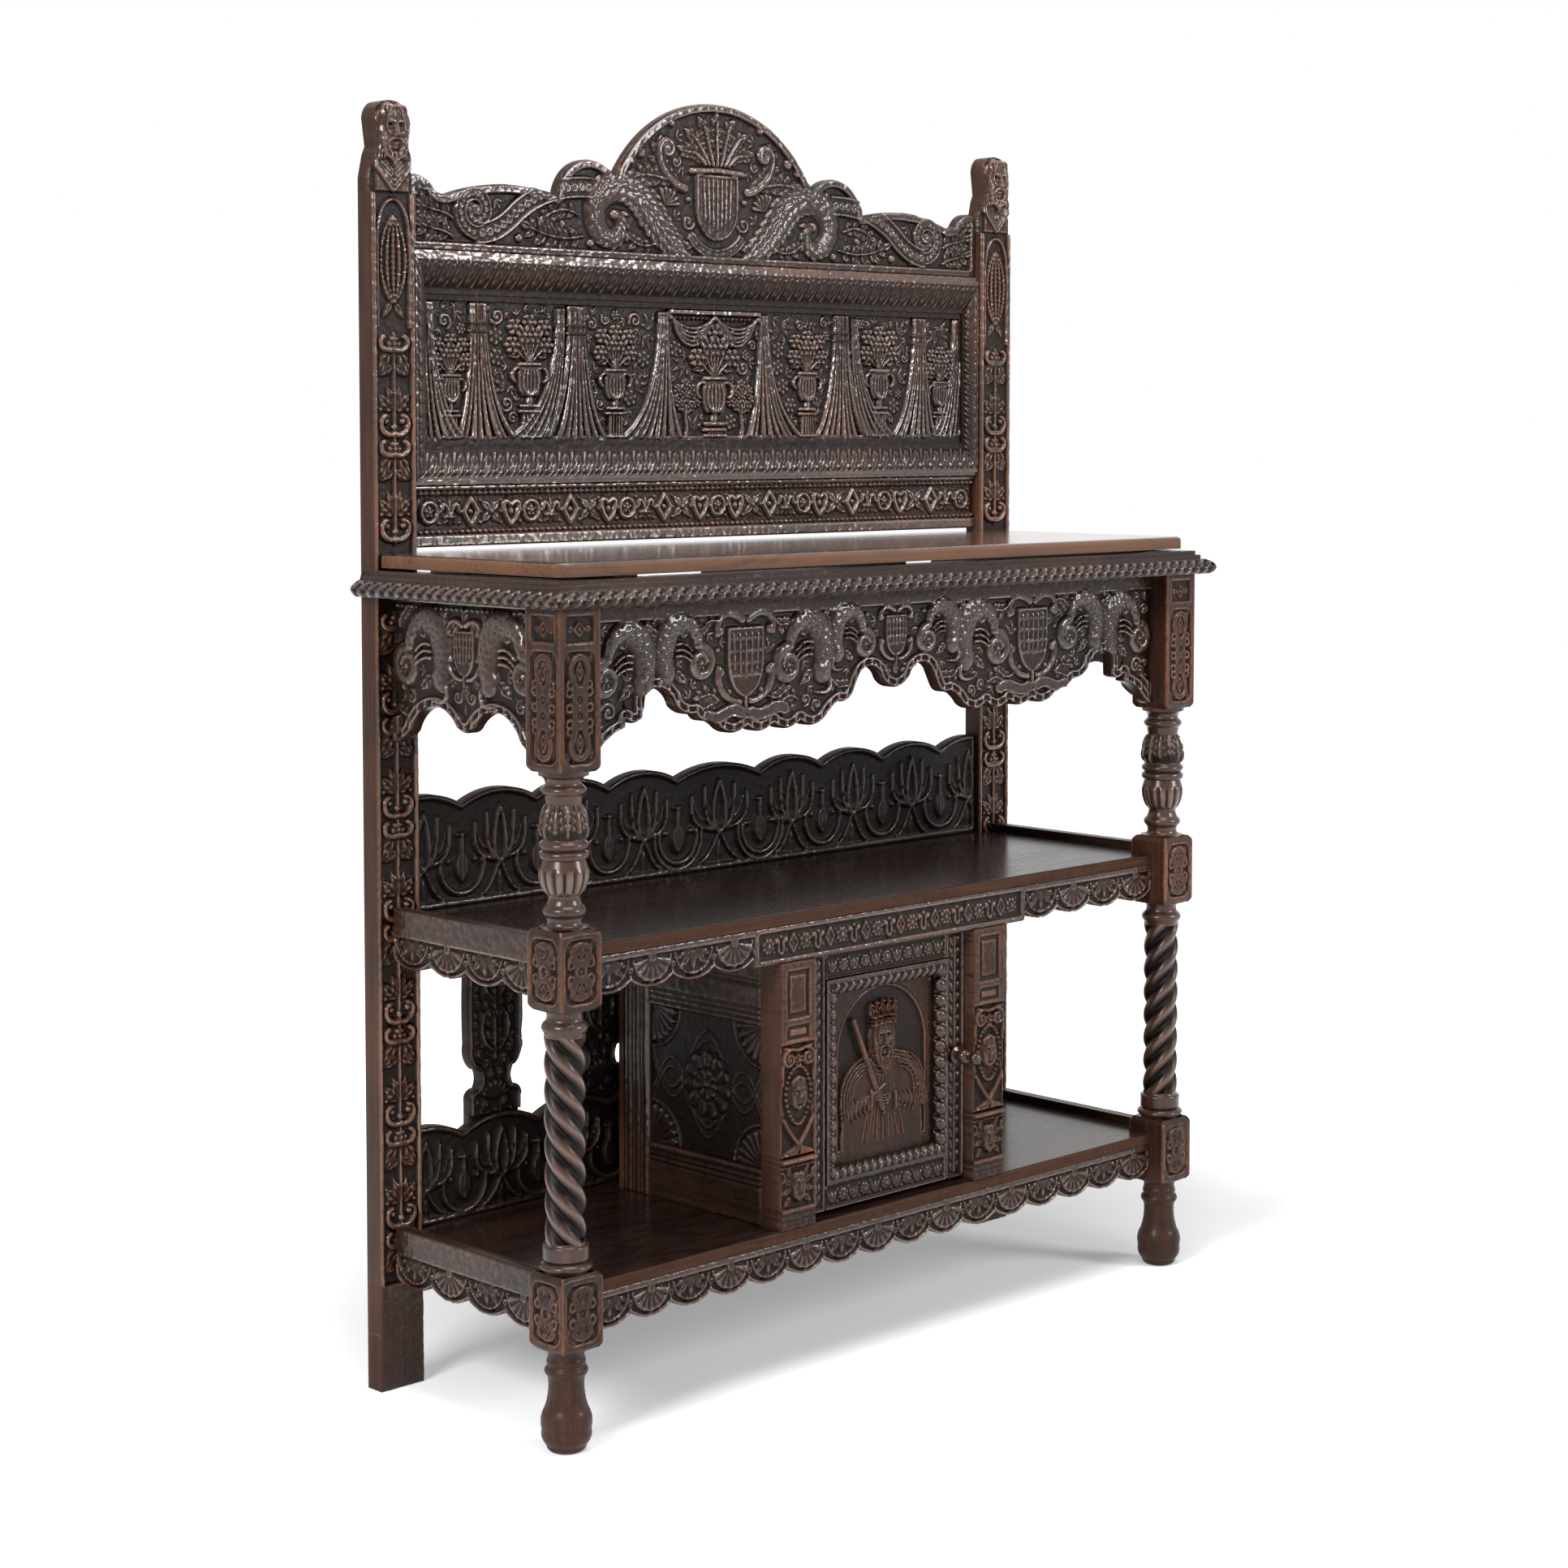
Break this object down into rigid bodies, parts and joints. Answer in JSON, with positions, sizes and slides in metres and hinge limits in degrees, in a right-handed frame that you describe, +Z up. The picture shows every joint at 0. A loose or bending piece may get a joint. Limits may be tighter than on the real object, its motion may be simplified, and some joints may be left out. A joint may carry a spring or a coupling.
{
  "type": "court cupboard",
  "caption": "Three-tier carved oak court cupboard with turned posts, a panelled and crested back, and a small cupboard with a hinged door.",
  "frame": {"origin": "on the floor, in the middle of the whole piece's box", "axes": "+X to the right seen from the front, +Y to the back, +Z up"},
  "size_m": [1.3642, 0.4461, 1.8305],
  "materials": {
    "carved_oak": "near-black oak, carved, worn reddish brown on the high edges, waxed",
    "turned_oak": "dark oak, turned and carved, waxed to a soft gloss",
    "waxed_board": "dark oak board, flat grain, waxed to a gloss",
    "plain_oak": "plain dark oak, reddish brown, lightly waxed",
    "hinge_iron": "black wrought iron"
  },
  "bodies": {
    "carcass": {"back_frame_bottom": "carved_oak", "back_frame_top": "carved_oak", "back_splat_1": "carved_oak", "back_splat_2": "carved_oak", "back_splat_3": "carved_oak", "back_splat_4": "carved_oak", "carved_back_panel": "carved_oak", "crest_board": "carved_oak", "cupboard_back_panel": "plain_oak", "door_stop_rail": "plain_oak", "front_apron": "carved_oak", "hinge_fixed_leaves": "hinge_iron", "hinge_pins": "hinge_iron", "left_back_frame": "carved_oak", "left_cupboard_low_rail": "plain_oak", "left_cupboard_rear_stile": "plain_oak", "left_cupboard_side_panel": "carved_oak", "left_cupboard_top_rail": "plain_oak", "left_front_post": "turned_oak", "left_low_side_rail": "carved_oak", "left_mid_side_rail": "carved_oak", "left_pilaster": "carved_oak", "left_rear_stile": "carved_oak", "left_side_apron": "carved_oak", "left_worktop_moulding": "carved_oak", "low_back_board": "carved_oak", "low_front_rail": "carved_oak", "low_shelf_board": "waxed_board", "lower_back_rail": "carved_oak", "mid_back_board": "carved_oak", "mid_front_rail": "carved_oak", "mid_shelf_board": "waxed_board", "right_back_frame": "carved_oak", "right_cupboard_low_rail": "plain_oak", "right_cupboard_rear_stile": "plain_oak", "right_cupboard_side_panel": "carved_oak", "right_cupboard_top_rail": "plain_oak", "right_front_post": "turned_oak", "right_low_side_rail": "carved_oak", "right_mid_side_rail": "carved_oak", "right_pilaster": "carved_oak", "right_rear_stile": "carved_oak", "right_side_apron": "carved_oak", "right_worktop_moulding": "carved_oak", "top_back_rail": "plain_oak", "worktop_bearers": "plain_oak", "worktop_board": "waxed_board", "worktop_moulding_front": "carved_oak"},
    "door": {"door_left_stile": "carved_oak", "door_right_stile": "carved_oak", "door_bottom_rail": "carved_oak", "door_top_rail": "carved_oak", "door_moulding": "carved_oak", "door_panel": "carved_oak", "hinge_door_leaves": "hinge_iron"},
    "latch": {"door_knob": "turned_oak", "latch_tongue": "plain_oak"}
  },
  "joints": [
    {"name": "door_swing", "type": "hinge", "parent": "carcass", "child": "door", "pos_m": [-0.1666, -0.1552, 0.408], "axis": [0, 0, -1], "range_deg": [0, 90]},
    {"name": "latch_turn", "type": "hinge", "parent": "door", "child": "latch", "pos_m": [0.148, -0.153, 0.408], "axis": [0, 1, 0], "range_deg": [0, 90]}
  ]
}
